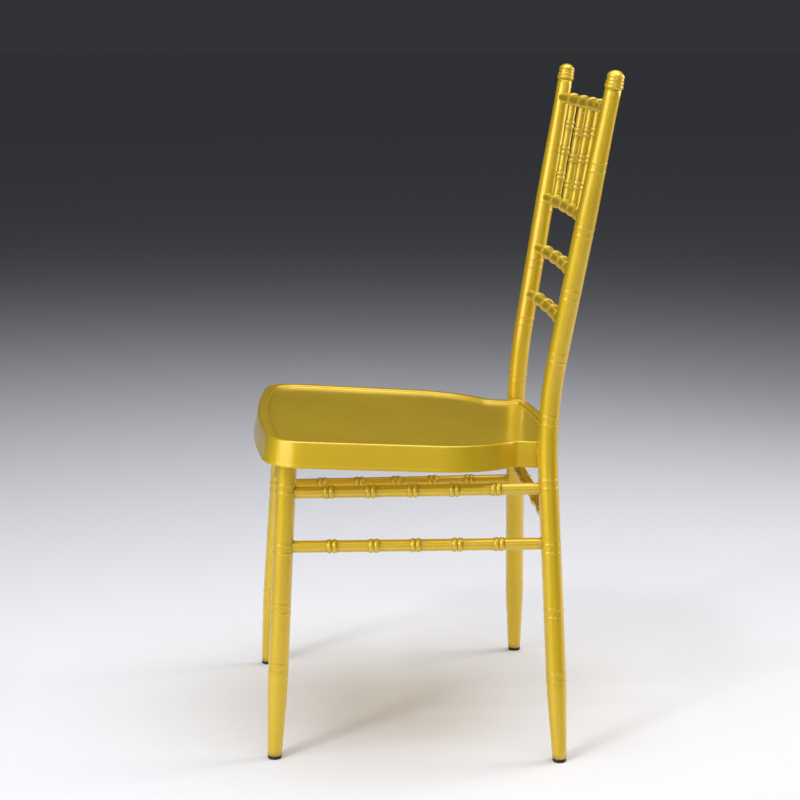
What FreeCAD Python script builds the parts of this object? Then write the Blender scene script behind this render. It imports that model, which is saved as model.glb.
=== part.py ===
import FreeCAD, Part
import math
import os
import Sketcher
from FreeCAD import Placement, Rotation, Vector

# Banquet chair of welded steel tube with a stamped sheet seat, ringed and beaded like bamboo.
# Millimetres. The floor is z = 0, the front faces -Y and the sitter's left side is +X.

doc = FreeCAD.newDocument("banquet_chair")
sheet = doc.addObject("Spreadsheet::Sheet", "Sizes")

driving_sizes = (
    # Rear uprights: one tube each, straight from the floor, one bend behind the seat, straight to the top.
    ("tube_diameter", 27.0),
    ("tube_wall", 1.2),
    ("rear_foot_half", 236.5),
    ("rear_foot_y", 163.5),
    ("waist_half", 155.0),
    ("waist_y", 150.1),
    ("waist_height", 460.0),
    ("post_top_half", 198.4),
    ("post_top_y", 224.7),
    ("post_top_height", 893.5),
    ("bend_radius", 480.0),
    ("foot_diameter", 18.6),
    ("foot_taper_length", 100.0),
    ("post_top_diameter", 21.6),
    ("post_taper_from", 168.5),
    ("post_taper_to", 38.5),
    # Rolled rings on uprights and front legs, in pairs.
    ("ring_round", 3.0),
    ("ring_proud", 0.4),
    ("ring_spacing", 11.0),
    ("upright_ring_pairs", 9),
    ("upright_ring_first", 113.5),
    ("upright_ring_pitch", 86.5),
    ("leg_ring_pairs", 4),
    ("leg_ring_first", 125.0),
    ("leg_ring_pitch", 81.5),
    # Front legs: straight tubes whose heads meet the seat's underside.
    ("front_foot_half", 197.5),
    ("front_foot_y", -218.9),
    ("right_foot_advance", 7.5),
    ("leg_head_half", 168.5),
    ("leg_head_y", -197.4),
    ("leg_head_height", 410.0),
    # Plastic glides plugged into the four feet.
    ("glide_height", 5.0),
    ("glide_edge", 1.5),
    ("glide_plug_length", 24.0),
    ("plug_clearance", 0.25),
    # Caps plugged into the tops of the uprights.
    ("cap_height", 23.0),
    ("cap_dome_rise", 7.0),
    ("cap_head_diameter", 23.2),
    ("cap_head_height", 2.0),
    ("cap_neck_diameter", 21.0),
    ("cap_plug_length", 18.0),
    ("cap_beads", 3),
    ("cap_bead_proud", 1.8),
    ("cap_bead_shrink", 0.4),
    ("cap_bead_width", 4.3),
    ("cap_bead_first", 2.5),
    ("cap_bead_spacing", 4.5),
    # Stretchers and back rails: beaded tubes.
    ("stretcher_diameter", 16.0),
    ("stretcher_wall", 1.2),
    ("bead_proud", 1.3),
    ("bead_width", 6.8),
    ("bead_spacing", 7.2),
    ("stretcher_bead_pairs", 5),
    ("lower_stretcher_height", 289.0),
    ("upper_stretcher_height", 362.0),
    ("cross_stretcher_height", 318.0),
    ("side_bead_pitch", 56.0),
    ("lower_bead_shift", -2.5),
    ("upper_bead_shift", -7.0),
    ("cross_bead_pitch", 58.0),
    ("rail_bow", 12.5),
    ("rail_bead_pairs", 5),
    ("top_rail_drop", 26.5),
    ("spindle_panel_height", 145.5),
    ("upper_gap_height", 74.0),
    ("middle_gap_height", 68.5),
    # Back spindles between the two upper rails.
    ("spindle_count", 5),
    ("spindle_diameter", 12.6),
    ("spindle_wall", 1.0),
    ("spindle_bead_proud", 1.0),
    ("spindle_bead_width", 4.6),
    ("spindle_bead_spacing", 6.4),
    ("spindle_bead_pairs", 3),
    # Seat pan, in its own plane tilted back: the rim is its zero height.
    ("seat_height", 428.8),
    ("seat_tilt", 3.2),
    ("pan_wall", 1.2),
    ("skirt_depth", 34.2),
    ("skirt_flare", 5.0),
    ("pan_edge_round", 6.0),
    ("rim_width", 12.0),
    ("recess_depth", 4.0),
    ("recess_round", 2.0),
    ("rim_round", 1.8),
    ("seat_nose_y", -242.35),
    ("seat_nose_radius", 1250.0),
    ("seat_front_half", 210.0),
    ("seat_corner_y", -219.9),
    ("seat_corner_radius", 48.0),
    ("shoulder_half", 199.0),
    ("shoulder_y", 58.0),
    ("shoulder_radius", 150.0),
    ("tail_start_y", 110.0),
    ("tail_start_radius", 14.0),
    ("tail_end_y", 165.5),
    ("tail_corner_radius", 22.0),
    ("seat_back_y", 185.0),
    ("seat_back_radius", 800.0),
    # Weld beads between the seat's tail and the uprights.
    ("weld_gap", 0.3),
    ("weld_round", 3.2),
    ("weld_length", 20.0),
    ("weld_angle", 34.0),
)
# The back rails hang from the tops of the uprights, one below the other.
following_sizes = (
    ("top_rail_height", "=post_top_height - top_rail_drop"),
    ("spindle_rail_height", "=top_rail_height - spindle_panel_height"),
    ("upper_mid_rail_height", "=spindle_rail_height - upper_gap_height"),
    ("lower_mid_rail_height", "=upper_mid_rail_height - middle_gap_height"),
)
cells = []


def write_cell(alias, content):
    """Adds one named number, or a formula on other names, to the sheet."""
    cells.append(alias)
    row = len(cells)
    sheet.set(f"A{row}", alias)
    sheet.set(f"B{row}", str(content))
    sheet.setAlias(f"B{row}", alias)


def size(alias):
    return float(sheet.get(alias))


def worked_out(alias, value):
    """Keeps a length or an angle that follows from the driving sizes in the sheet as well."""
    write_cell(alias, value)
    sheet.recompute()
    return value


for alias, content in driving_sizes + following_sizes:
    write_cell(alias, content)
doc.recompute()

nodes = []


def node(label, shape_object):
    """Marks a document object as one finished piece of the chair."""
    shape_object.Label = label
    nodes.append(shape_object)
    return shape_object


def along(start, direction):
    """Placement whose own Z axis runs from start in the given direction."""
    return Placement(start, Rotation(Vector(0, 0, 1), direction))


def primitive(kind, name, placement, **expressions):
    """One Part primitive whose sizes are tied to the sheet."""
    piece = doc.addObject("Part::" + kind, name)
    for prop, expression in expressions.items():
        piece.setExpression(prop, expression)
    piece.Placement = placement
    return piece


def fused(name, pieces):
    fuse = doc.addObject("Part::MultiFuse", name)
    fuse.Shapes = pieces
    return fuse


def cut(name, base, tool):
    result = doc.addObject("Part::Cut", name)
    result.Base = base
    result.Tool = tool
    return result


# Sketches: every corner and circle is dimensioned from the sketch origin by an expression.
ACROSS_AXIS, UP_AXIS = -1, -2
AT_START, AT_END, AT_CENTRE = 1, 2, 3
ORIGIN = (ACROSS_AXIS, AT_START)
no_length = 1e-9
same_place = 1e-6
edge_tolerance = 1e-3


def number(expression):
    return float(sheet.evalExpression(expression))


def origin_plane(body, role):
    return next(feature for feature in body.Origin.OriginFeatures if feature.Role == role)


def new_sketch(body, name, role):
    sketch = body.newObject("Sketcher::SketchObject", name)
    sketch.AttachmentSupport = (origin_plane(body, role), [""])
    sketch.MapMode = "FlatFace"
    return sketch


def dimension(sketch, kind, item, end, expression):
    """Ties one coordinate of a sketch point to an expression, whichever side of the axis it is on."""
    value = number(expression)
    if abs(value) < no_length:
        axis = UP_AXIS if kind == "DistanceX" else ACROSS_AXIS
        sketch.addConstraint(Sketcher.Constraint("PointOnObject", item, end, axis))
        return
    if value > 0:
        index = sketch.addConstraint(Sketcher.Constraint(kind, *ORIGIN, item, end, value))
        sketch.setExpression(f"Constraints[{index}]", expression)
        return
    index = sketch.addConstraint(Sketcher.Constraint(kind, item, end, *ORIGIN, -value))
    sketch.setExpression(f"Constraints[{index}]", f"-({expression})")


def add_circle(sketch, across, up, radius):
    centre = Vector(number(across), number(up), 0)
    item = sketch.addGeometry(Part.Circle(centre, Vector(0, 0, 1), number(radius)), False)
    dimension(sketch, "DistanceX", item, AT_CENTRE, across)
    dimension(sketch, "DistanceY", item, AT_CENTRE, up)
    index = sketch.addConstraint(Sketcher.Constraint("Radius", item, number(radius)))
    sketch.setExpression(f"Constraints[{index}]", radius)


def add_bead(sketch, chord, crest, middle, width):
    """A D-shaped bead: a chord at one distance from the axis and an arc that rises to its crest."""
    inner = number(chord)
    rise = number(crest) - inner
    centre = number(middle)
    half = number(width) / 2
    low = Vector(inner, centre - half, 0)
    high = Vector(inner, centre + half, 0)
    line = sketch.addGeometry(Part.LineSegment(low, high), False)
    arc = sketch.addGeometry(Part.Arc(low, Vector(inner + rise, centre, 0), high), False)
    starts_low = sketch.getPoint(arc, AT_START).distanceToPoint(low) < same_place
    low_end, high_end = (AT_START, AT_END) if starts_low else (AT_END, AT_START)
    sketch.addConstraint(Sketcher.Constraint("Coincident", line, AT_START, arc, low_end))
    sketch.addConstraint(Sketcher.Constraint("Coincident", line, AT_END, arc, high_end))
    sketch.addConstraint(Sketcher.Constraint("Vertical", line))
    dimension(sketch, "DistanceX", line, AT_START, chord)
    dimension(sketch, "DistanceY", line, AT_START, f"{middle} - ({width}) / 2")
    dimension(sketch, "DistanceY", line, AT_END, f"{middle} + ({width}) / 2")
    rounding = (half * half + rise * rise) / (2 * rise)
    index = sketch.addConstraint(Sketcher.Constraint("Radius", arc, rounding))
    height = f"(({crest}) - ({chord}))"
    sketch.setExpression(f"Constraints[{index}]", f"((({width}) / 2)^2 + {height}^2) / (2 * {height})")


# Beaded tubes: straight ones for stretchers and spindles, bowed ones for the back rails.

def straight_form(name, start, end, length, across, bead):
    """A solid round bar from start to end with pairs of beads, evenly spaced about a place that is
    shifted from its middle."""
    body = doc.addObject("PartDesign::Body", name)
    section = new_sketch(body, name + "_section", "XY_Plane")
    add_circle(section, "0", "0", f"{across} / 2")
    bar = body.newObject("PartDesign::Pad", name + "_bar")
    bar.Profile = section
    bar.setExpression("Length", length)
    profile = new_sketch(body, name + "_bead_profile", "XZ_Plane")
    first = f"({length}) / 2 + ({bead['shift']}) - ({bead['pitch']}) * ({bead['pairs']} - 1) / 2"
    chord = f"{across} / 2 - {bead['proud']}"
    crest = f"{across} / 2 + {bead['proud']}"
    for side in ("-", "+"):
        add_bead(profile, chord, crest, f"{first} {side} {bead['spacing']} / 2", bead["width"])
    pair = body.newObject("PartDesign::Revolution", name + "_bead_pair")
    pair.Profile = profile
    pair.ReferenceAxis = (profile, ["V_Axis"])
    pair.Angle = 360
    pattern = body.newObject("PartDesign::LinearPattern", name + "_bead_pairs")
    pattern.Originals = [pair]
    pattern.Direction = (profile, ["V_Axis"])
    pattern.setExpression("Length", f"({bead['pitch']}) * ({bead['pairs']} - 1)")
    pattern.setExpression("Occurrences", bead["pairs"])
    body.Tip = pattern
    body.Placement = along(start, end - start)
    return body


def straight_bore(name, start, end, length, across, wall):
    return primitive("Cylinder", name, along(start, end - start),
                     Radius=f"{across} / 2 - {wall}", Height=length)


def bowed_form(name, placement, radius, angle, across, bead):
    """A solid round bar bent to an arc about its own Z axis, with pairs of beads along it."""
    body = doc.addObject("PartDesign::Body", name)
    section = new_sketch(body, name + "_section", "XZ_Plane")
    add_circle(section, radius, "0", f"{across} / 2")
    bar = body.newObject("PartDesign::Revolution", name + "_bar")
    bar.Profile = section
    bar.ReferenceAxis = (section, ["V_Axis"])
    bar.Midplane = True
    bar.setExpression("Angle", angle)
    profile = new_sketch(body, name + "_bead_profile", "XY_Plane")
    step = f"{angle} / ({bead['pairs']} + 1)"
    first_turn = number(f"{step} * ({bead['pairs']} - 1) / 2")
    profile.AttachmentOffset = Placement(Vector(), Rotation(Vector(0, 0, 1), -first_turn))
    tangent_top = Vector(number(radius), number(bead["spacing"]), 0)
    tangent_foot = Vector(number(radius), -number(bead["spacing"]), 0)
    tangent = profile.addGeometry(Part.LineSegment(tangent_foot, tangent_top), True)
    profile.addConstraint(Sketcher.Constraint("Vertical", tangent))
    dimension(profile, "DistanceX", tangent, AT_START, radius)
    chord = f"{radius} + {across} / 2 - {bead['proud']}"
    crest = f"{radius} + {across} / 2 + {bead['proud']}"
    for side in ("-", "+"):
        add_bead(profile, chord, crest, f"{side} {bead['spacing']} / 2", bead["width"])
    pair = body.newObject("PartDesign::Revolution", name + "_bead_pair")
    pair.Profile = profile
    pair.ReferenceAxis = (profile, ["Axis0"])
    pair.Angle = 360
    pattern = body.newObject("PartDesign::PolarPattern", name + "_bead_pairs")
    pattern.Originals = [pair]
    pattern.Axis = (section, ["V_Axis"])
    pattern.setExpression("Angle", f"{step} * ({bead['pairs']} - 1)")
    pattern.setExpression("Occurrences", bead["pairs"])
    body.Tip = pattern
    body.Placement = placement
    return body


# Rear uprights: the path of one tube's axis, and what is found along it.

def upright_path(side):
    foot = Vector(side * size("rear_foot_half"), size("rear_foot_y"), 0)
    waist = Vector(side * size("waist_half"), size("waist_y"), size("waist_height"))
    top = Vector(side * size("post_top_half"), size("post_top_y"), size("post_top_height"))
    lower = (waist - foot).normalize()
    upper = (top - waist).normalize()
    turn = lower.getAngle(upper)
    run = size("bend_radius") * math.tan(turn / 2)
    inward = (upper - lower).normalize()
    centre = waist + inward * (size("bend_radius") / math.cos(turn / 2))
    return {
        "foot": foot, "waist": waist, "lower": lower, "upper": upper, "turn": turn, "centre": centre,
        "bend_start": waist - lower * run, "bend_end": waist + upper * run,
        "lower_length": (waist - foot).Length - run, "upper_length": (top - waist).Length - run,
    }


def upright_station(path, distance):
    """Point and direction of the upright's axis at a distance from the floor along the tube."""
    bend_length = size("bend_radius") * path["turn"]
    if distance <= path["lower_length"]:
        return path["foot"] + path["lower"] * distance, path["lower"]
    if distance >= path["lower_length"] + bend_length:
        beyond = distance - path["lower_length"] - bend_length
        return path["bend_end"] + path["upper"] * beyond, path["upper"]
    turned = math.degrees((distance - path["lower_length"]) / size("bend_radius"))
    rotation = Rotation(path["lower"].cross(path["upper"]), turned)
    spoke = rotation.multVec(path["bend_start"] - path["centre"])
    return path["centre"] + spoke, rotation.multVec(path["lower"])


def on_lower(path, height):
    return path["foot"] + path["lower"] * (height / path["lower"].z)


def on_upper(path, height):
    return path["waist"] + path["upper"] * ((height - path["waist"].z) / path["upper"].z)


paths = {"left": upright_path(1), "right": upright_path(-1)}
left_path = paths["left"]
worked_out("upright_lower_length", left_path["lower_length"])
worked_out("upright_upper_length", left_path["upper_length"])
worked_out("upright_turn", math.degrees(left_path["turn"]))
bore_overrun = "Sizes.tube_wall"


def upright_form(name, path, inset, overrun):
    """Outline of an upright drawn in by an inset: foot taper, straight, bend, straight, top taper, top."""
    full = f"Sizes.tube_diameter / 2 - {inset}"
    foot = f"Sizes.foot_diameter / 2 - {inset}"
    crown = f"Sizes.post_top_diameter / 2 - {inset}"
    lower, upper = path["lower"], path["upper"]
    lower_start = path["foot"] + lower * size("foot_taper_length")
    taper_start = path["bend_end"] + upper * (path["upper_length"] - size("post_taper_from"))
    crown_start = path["bend_end"] + upper * (path["upper_length"] - size("post_taper_to"))
    outward = (path["bend_start"] - path["centre"]).normalize()
    bend_frame = Placement(path["centre"], Rotation(outward, lower, lower.cross(upper) * -1, "XYZ"))
    return [
        primitive("Cone", name + "_foot", along(path["foot"], lower),
                  Radius1=foot, Radius2=full, Height="Sizes.foot_taper_length"),
        primitive("Cylinder", name + "_lower", along(lower_start, lower),
                  Radius=full, Height="Sizes.upright_lower_length - Sizes.foot_taper_length"),
        primitive("Torus", name + "_bend", bend_frame,
                  Radius1="Sizes.bend_radius", Radius2=full, Angle3="Sizes.upright_turn"),
        primitive("Cylinder", name + "_upper", along(path["bend_end"], upper),
                  Radius=full, Height="Sizes.upright_upper_length - Sizes.post_taper_from"),
        primitive("Cone", name + "_taper", along(taper_start, upper),
                  Radius1=full, Radius2=crown, Height="Sizes.post_taper_from - Sizes.post_taper_to"),
        primitive("Cylinder", name + "_crown", along(crown_start, upper),
                  Radius=crown, Height=f"Sizes.post_taper_to + {overrun}"),
    ]


def ring(name, point, direction, narrowed):
    """One rolled ring round a tube that has narrowed by a share of its way to the top diameter."""
    radius = f"(Sizes.tube_diameter * {1 - narrowed:.5f} + Sizes.post_top_diameter * {narrowed:.5f}) / 2"
    return primitive("Torus", name, along(point, direction),
                     Radius1=f"{radius} + Sizes.ring_proud - Sizes.ring_round", Radius2="Sizes.ring_round")


def upright_rings(name, path):
    length = path["lower_length"] + size("bend_radius") * path["turn"] + path["upper_length"]
    taper_from = length - size("post_taper_from")
    taper_run = size("post_taper_from") - size("post_taper_to")
    rings = []
    for pair in range(int(size("upright_ring_pairs"))):
        middle = size("upright_ring_first") + pair * size("upright_ring_pitch")
        for side in (-0.5, 0.5):
            distance = middle + side * size("ring_spacing")
            narrowed = min(max((distance - taper_from) / taper_run, 0.0), 1.0)
            point, direction = upright_station(path, distance)
            rings.append(ring(f"{name}_ring", point, direction, narrowed))
    return rings


# Everything below the glides' upper faces is trimmed off the tubes, level with the floor, by a box
# that reaches well past the feet on every side.
trim_over_feet = 4
trim_reach = trim_over_feet * size("rear_foot_half")
floor_trim = doc.addObject("Part::Box", "floor_trim")
floor_trim.Length = trim_reach
floor_trim.Width = trim_reach
floor_trim.Height = trim_reach
floor_trim.Placement = Placement(
    Vector(-trim_reach / 2, -trim_reach / 2, size("glide_height") - trim_reach), Rotation())

upright_envelopes = {}
for side, path in paths.items():
    name = side + "_upright"
    envelope = fused(name + "_envelope", upright_form(name, path, "0", "0") + upright_rings(name, path))
    bore = upright_form(name + "_bore", path, "Sizes.tube_wall", bore_overrun)
    upright_envelopes[side] = envelope
    node(name, cut(name, envelope, fused(name + "_waste", bore + [floor_trim])))

# Seat pan frame: a plane tilted back, with the rim at its zero height.
seat_turn = Rotation(Vector(1, 0, 0), -size("seat_tilt"))
seat_frame = Placement(Vector(0, 0, size("seat_height")), seat_turn)


def height_on_pan(y, drop):
    """Height in the chair of a point on the pan's plane, lowered by drop, at a place from front to back."""
    slope = math.tan(math.radians(size("seat_tilt")))
    return size("seat_height") - y * slope - drop / math.cos(math.radians(size("seat_tilt")))


# Front legs: straight tubes from the floor to the underside of the seat. The right one is splayed a
# little further forward than the left.
pan_drop = size("recess_depth") + size("pan_wall")
seat_trim = doc.addObject("Part::Box", "seat_trim")
seat_trim.Length = trim_reach
seat_trim.Width = trim_reach
seat_trim.Height = trim_reach
seat_trim.Placement = seat_frame * Placement(
    Vector(-trim_reach / 2, -trim_reach / 2, -pan_drop), Rotation())


def leg_path(side):
    advance = size("right_foot_advance") if side < 0 else 0.0
    foot = Vector(side * size("front_foot_half"), size("front_foot_y") - advance, 0)
    head = Vector(side * size("leg_head_half"), size("leg_head_y"), size("leg_head_height"))
    return {"foot": foot, "lower": (head - foot).normalize()}


leg_paths = {"left": leg_path(1), "right": leg_path(-1)}
leg_axis = leg_paths["left"]["lower"]
worked_out("leg_length", height_on_pan(size("leg_head_y"), 0) / leg_axis.z + size("tube_diameter"))


def leg_form(name, path, inset):
    full = f"Sizes.tube_diameter / 2 - {inset}"
    foot = f"Sizes.foot_diameter / 2 - {inset}"
    taper_end = path["foot"] + path["lower"] * size("foot_taper_length")
    return [
        primitive("Cone", name + "_foot", along(path["foot"], path["lower"]),
                  Radius1=foot, Radius2=full, Height="Sizes.foot_taper_length"),
        primitive("Cylinder", name + "_shank", along(taper_end, path["lower"]),
                  Radius=full, Height="Sizes.leg_length - Sizes.foot_taper_length"),
    ]


def leg_rings(name, path):
    rings = []
    for pair in range(int(size("leg_ring_pairs"))):
        middle = size("leg_ring_first") + pair * size("leg_ring_pitch")
        for side in (-0.5, 0.5):
            point = path["foot"] + path["lower"] * (middle + side * size("ring_spacing"))
            rings.append(ring(f"{name}_ring", point, path["lower"], 0.0))
    return rings


leg_envelopes = {}
for side, path in leg_paths.items():
    name = side + "_front_leg"
    envelope = fused(name + "_envelope", leg_form(name, path, "0") + leg_rings(name, path))
    bore = leg_form(name + "_bore", path, "Sizes.tube_wall")
    leg_envelopes[side] = envelope
    node(name, cut(name, envelope, fused(name + "_waste", bore + [floor_trim, seat_trim])))

# Floor glides: a pad as wide as the foot, level on the floor, and a plug up the tapered bore.


def glide(name, path):
    below = path["foot"] - path["lower"] * size("glide_height")
    pad_bar = primitive("Cylinder", name + "_bar", along(below, path["lower"]),
                        Radius="Sizes.foot_diameter / 2", Height="Sizes.glide_plug_length")
    slab = doc.addObject("Part::Box", name + "_slab")
    slab.Length = trim_reach
    slab.Width = trim_reach
    slab.setExpression("Height", "Sizes.glide_height")
    slab.Placement = Placement(Vector(-trim_reach / 2, -trim_reach / 2, 0), Rotation())
    pad = doc.addObject("Part::Common", name + "_pad")
    pad.Base = pad_bar
    pad.Tool = slab
    plug_start = path["foot"] + path["lower"] * (size("glide_height") / 2)
    plug = primitive("Cylinder", name + "_plug", along(plug_start, path["lower"]),
                     Radius="Sizes.foot_diameter / 2 - Sizes.tube_wall - Sizes.plug_clearance",
                     Height="Sizes.glide_plug_length + Sizes.glide_height / 2")
    whole = fused(name + "_whole", [pad, plug])
    doc.recompute()
    rounded = doc.addObject("Part::Fillet", name)
    rounded.Base = whole
    edge_round = size("glide_edge")
    near_floor = edge_round / 2
    rounded.Edges = [
        (index, edge_round, edge_round)
        for index, edge in enumerate(whole.Shape.Edges, 1)
        if edge.BoundBox.ZMax < near_floor and edge.BoundBox.DiagonalLength > edge_round
    ]
    return rounded


for side in ("left", "right"):
    node(f"front_{side}_glide", glide(f"front_{side}_glide", leg_paths[side]))
    node(f"rear_{side}_glide", glide(f"rear_{side}_glide", paths[side]))

# Post caps: a plug in the open tube, a stack of beads that shrink upwards, and a low domed head.


def post_cap(name, path):
    body = doc.addObject("PartDesign::Body", name)
    profile = new_sketch(body, name + "_profile", "XZ_Plane")
    plug = "Sizes.post_top_diameter / 2 - Sizes.tube_wall - Sizes.plug_clearance"
    neck = "Sizes.cap_neck_diameter / 2"
    head = "Sizes.cap_head_diameter / 2"
    shoulder = "Sizes.cap_height - Sizes.cap_dome_rise"
    under_head = f"{shoulder} - Sizes.cap_head_height"
    corners = [
        ("0", "-Sizes.cap_plug_length"), (plug, "-Sizes.cap_plug_length"), (plug, "0"), (neck, "0"),
        (neck, under_head), (head, f"{under_head} + {head} - {neck}"), (head, shoulder),
        ("0", "Sizes.cap_height"),
    ]
    points = [Vector(number(across), number(up), 0) for across, up in corners]
    last = len(points) - 1
    rise = number("Sizes.cap_dome_rise")
    dome_radius = (points[last - 1].x ** 2 + rise ** 2) / (2 * rise)
    dome_centre = Vector(0, points[last].y - dome_radius, 0)
    half_way = math.asin(points[last - 1].x / dome_radius) / 2
    dome_middle = dome_centre + Vector(math.sin(half_way), math.cos(half_way), 0) * dome_radius
    for index in range(last - 1):
        profile.addGeometry(Part.LineSegment(points[index], points[index + 1]), False)
    dome = profile.addGeometry(Part.Arc(points[last - 1], dome_middle, points[last]), False)
    axis = profile.addGeometry(Part.LineSegment(points[last], points[0]), False)
    for index in range(last - 2):
        profile.addConstraint(Sketcher.Constraint("Coincident", index, AT_END, index + 1, AT_START))
    profile.addConstraint(Sketcher.Constraint("Coincident", axis, AT_END, 0, AT_START))
    starts_low = profile.getPoint(dome, AT_START).distanceToPoint(points[last - 1]) < same_place
    low_end, high_end = (AT_START, AT_END) if starts_low else (AT_END, AT_START)
    profile.addConstraint(Sketcher.Constraint("Coincident", last - 2, AT_END, dome, low_end))
    profile.addConstraint(Sketcher.Constraint("Coincident", axis, AT_START, dome, high_end))
    for index in range(last - 1):
        dimension(profile, "DistanceX", index, AT_START, corners[index][0])
        dimension(profile, "DistanceY", index, AT_START, corners[index][1])
    dimension(profile, "DistanceX", last - 2, AT_END, head)
    dimension(profile, "DistanceY", last - 2, AT_END, shoulder)
    dimension(profile, "DistanceX", axis, AT_START, "0")
    dimension(profile, "DistanceY", axis, AT_START, "Sizes.cap_height")
    profile.addConstraint(Sketcher.Constraint("PointOnObject", dome, AT_CENTRE, UP_AXIS))
    core = body.newObject("PartDesign::Revolution", name + "_core")
    core.Profile = profile
    core.ReferenceAxis = (profile, ["V_Axis"])
    core.Angle = 360
    bead_profile = new_sketch(body, name + "_bead_profile", "XZ_Plane")
    chord = f"{neck} - Sizes.cap_bead_proud"
    for order in range(int(size("cap_beads"))):
        crest = f"{neck} + Sizes.cap_bead_proud - {order} * Sizes.cap_bead_shrink"
        middle = f"Sizes.cap_bead_first + {order} * Sizes.cap_bead_spacing"
        add_bead(bead_profile, chord, crest, middle, "Sizes.cap_bead_width")
    beads = body.newObject("PartDesign::Revolution", name + "_beads")
    beads.Profile = bead_profile
    beads.ReferenceAxis = (bead_profile, ["V_Axis"])
    beads.Angle = 360
    body.Tip = beads
    body.Placement = along(path["bend_end"] + path["upper"] * path["upper_length"], path["upper"])
    return body


for side, path in paths.items():
    node(f"{side}_post_cap", post_cap(f"{side}_post_cap", path))

# Stretchers: straight beaded tubes, their ends shaped to the legs that they are welded to.
stretcher_bead = {
    "proud": "Sizes.bead_proud", "width": "Sizes.bead_width", "spacing": "Sizes.bead_spacing",
    "pairs": "Sizes.stretcher_bead_pairs",
}


def stretcher(name, start, end, length, pitch, shift, supports):
    bead = dict(stretcher_bead, pitch=pitch, shift=shift)
    form = straight_form(name + "_form", start, end, length, "Sizes.stretcher_diameter", bead)
    bore = straight_bore(name + "_bore", start, end, length, "Sizes.stretcher_diameter",
                         "Sizes.stretcher_wall")
    return cut(name, form, fused(name + "_waste", [bore] + supports))


for level in ("lower", "upper"):
    height = size(level + "_stretcher_height")
    for side in paths:
        start = on_lower(leg_paths[side], height)
        end = on_lower(paths[side], height)
        name = f"{side}_{level}_stretcher"
        length = name + "_length"
        worked_out(length, start.distanceToPoint(end))
        supports = [leg_envelopes[side], upright_envelopes[side]]
        node(name, stretcher(name, start, end, "Sizes." + length, "Sizes.side_bead_pitch",
                             f"Sizes.{level}_bead_shift", supports))

cross_ends = (("front", leg_paths, leg_envelopes), ("rear", paths, upright_envelopes))
for end_name, cross_paths, envelopes in cross_ends:
    height = size("cross_stretcher_height")
    start = on_lower(cross_paths["right"], height)
    end = on_lower(cross_paths["left"], height)
    length = f"{end_name}_stretcher_length"
    worked_out(length, start.distanceToPoint(end))
    name = end_name + "_stretcher"
    supports = [envelopes["left"], envelopes["right"]]
    node(name, stretcher(name, start, end, "Sizes." + length, "Sizes.cross_bead_pitch", "0", supports))

# Back rails: beaded tubes between the uprights, bowed squarely out of the leaning plane of the back.
rail_run = Vector(-1, 0, 0)
back_rise = Vector(0, left_path["upper"].y, left_path["upper"].z).normalize()
back_normal = rail_run.cross(back_rise)
rail_bead = {
    "proud": "Sizes.bead_proud", "width": "Sizes.bead_width", "spacing": "Sizes.bead_spacing",
    "pairs": "Sizes.rail_bead_pairs",
}
rails = {}
for name in ("top_rail", "spindle_rail", "upper_mid_rail", "lower_mid_rail"):
    end = on_upper(left_path, size(name + "_height"))
    bow = size("rail_bow")
    radius = worked_out(name + "_radius", (end.x ** 2 + bow ** 2) / (2 * bow))
    angle = worked_out(name + "_angle", 2 * math.degrees(math.asin(end.x / radius)))
    centre = Vector(0, end.y, end.z) + back_normal * (bow - radius)
    frame = Placement(centre, Rotation(back_normal, rail_run, back_rise, "XYZ"))
    form = bowed_form(name + "_form", frame, f"Sizes.{name}_radius", f"Sizes.{name}_angle",
                      "Sizes.stretcher_diameter", rail_bead)
    bore_frame = frame * Placement(Vector(), Rotation(Vector(0, 0, 1), -angle / 2))
    bore = primitive("Torus", name + "_bore", bore_frame,
                     Radius1=f"Sizes.{name}_radius", Angle3=f"Sizes.{name}_angle",
                     Radius2="Sizes.stretcher_diameter / 2 - Sizes.stretcher_wall")
    waste = fused(name + "_waste", [bore, upright_envelopes["left"], upright_envelopes["right"]])
    node(name, cut(name, form, waste))
    rails[name] = {"form": form, "centre": centre, "radius": radius, "half": end.x}


def on_rail(rail, share):
    """Point on a rail's axis at a share of its half width, from -1 at the right end to 1 at the left."""
    across = share * rail["half"]
    back = math.sqrt(rail["radius"] ** 2 - across ** 2)
    return rail["centre"] - rail_run * across + back_normal * back


# Back spindles: beaded tubes standing between the two upper rails.
spindle_seats = fused("spindle_seats", [rails["top_rail"]["form"], rails["spindle_rail"]["form"]])
spindle_count = int(size("spindle_count"))
for order in range(1, spindle_count + 1):
    share = 2 * order / (spindle_count + 1) - 1
    start = on_rail(rails["spindle_rail"], share)
    end = on_rail(rails["top_rail"], share)
    name = f"spindle_{order}"
    length = worked_out(name + "_length", start.distanceToPoint(end))
    bead = {
        "proud": "Sizes.spindle_bead_proud", "width": "Sizes.spindle_bead_width",
        "spacing": "Sizes.spindle_bead_spacing", "pairs": "Sizes.spindle_bead_pairs",
        "pitch": f"Sizes.{name}_length / (Sizes.spindle_bead_pairs + 1)", "shift": "0",
    }
    form = straight_form(name + "_form", start, end, f"Sizes.{name}_length", "Sizes.spindle_diameter", bead)
    bore = straight_bore(name + "_bore", start, end, f"Sizes.{name}_length", "Sizes.spindle_diameter",
                         "Sizes.spindle_wall")
    node(name, cut(name, form, fused(name + "_waste", [bore, spindle_seats])))

# Seat pan: one stamped sheet with a flared skirt, a rounded edge, a raised rim and a shallow recess.


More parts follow.
